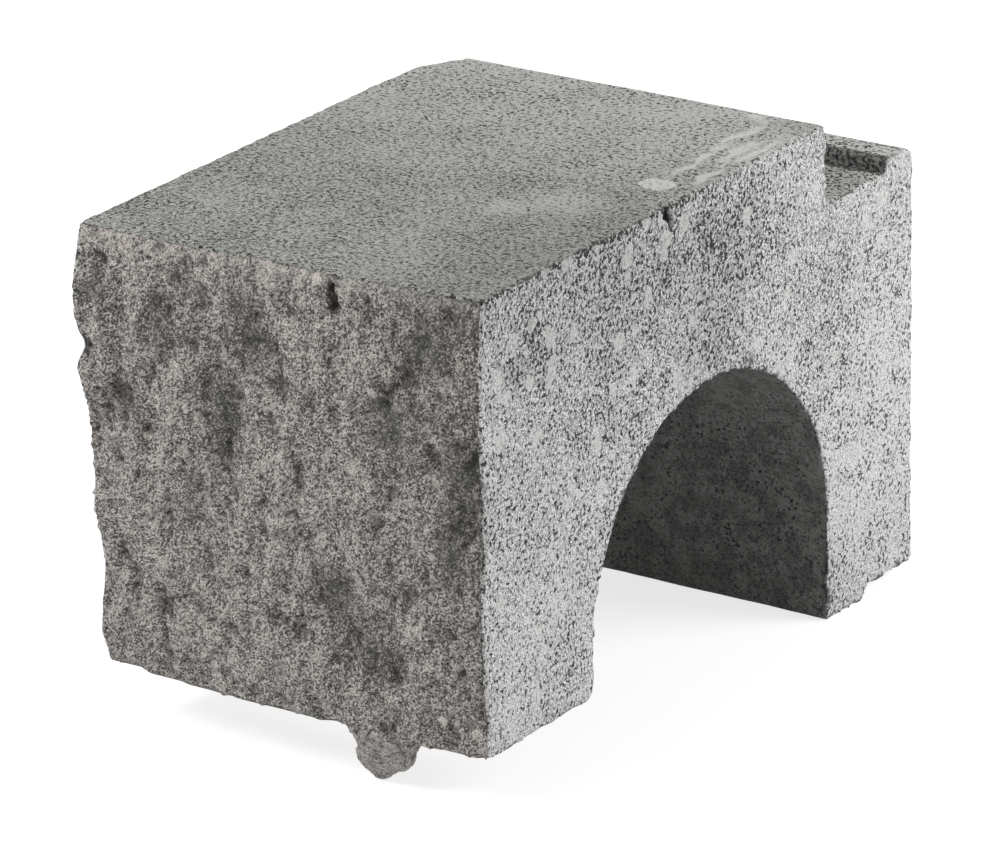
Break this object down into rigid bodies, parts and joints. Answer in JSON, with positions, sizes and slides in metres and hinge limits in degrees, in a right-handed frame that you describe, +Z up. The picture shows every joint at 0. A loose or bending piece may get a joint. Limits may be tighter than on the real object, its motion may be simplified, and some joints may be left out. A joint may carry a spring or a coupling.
{
  "type": "split-face concrete wall block",
  "caption": "Solid cast concrete wall block with a rough split front, an arched tunnel from end to end, and a stepped back that hooks behind the course below.",
  "frame": {"origin": "on the floor, below the middle of the block's box; the lowest level is the rib under the rear leg", "axes": "+Z up, -Y towards the split front, +X to the right end face seen from the front"},
  "size_m": [0.198, 0.347, 0.23],
  "materials": {
    "concrete": "dry-cast grey concrete, pitted, with a rough broken front"
  },
  "bodies": {
    "root": {"wall_block": "concrete"}
  },
  "joints": []
}
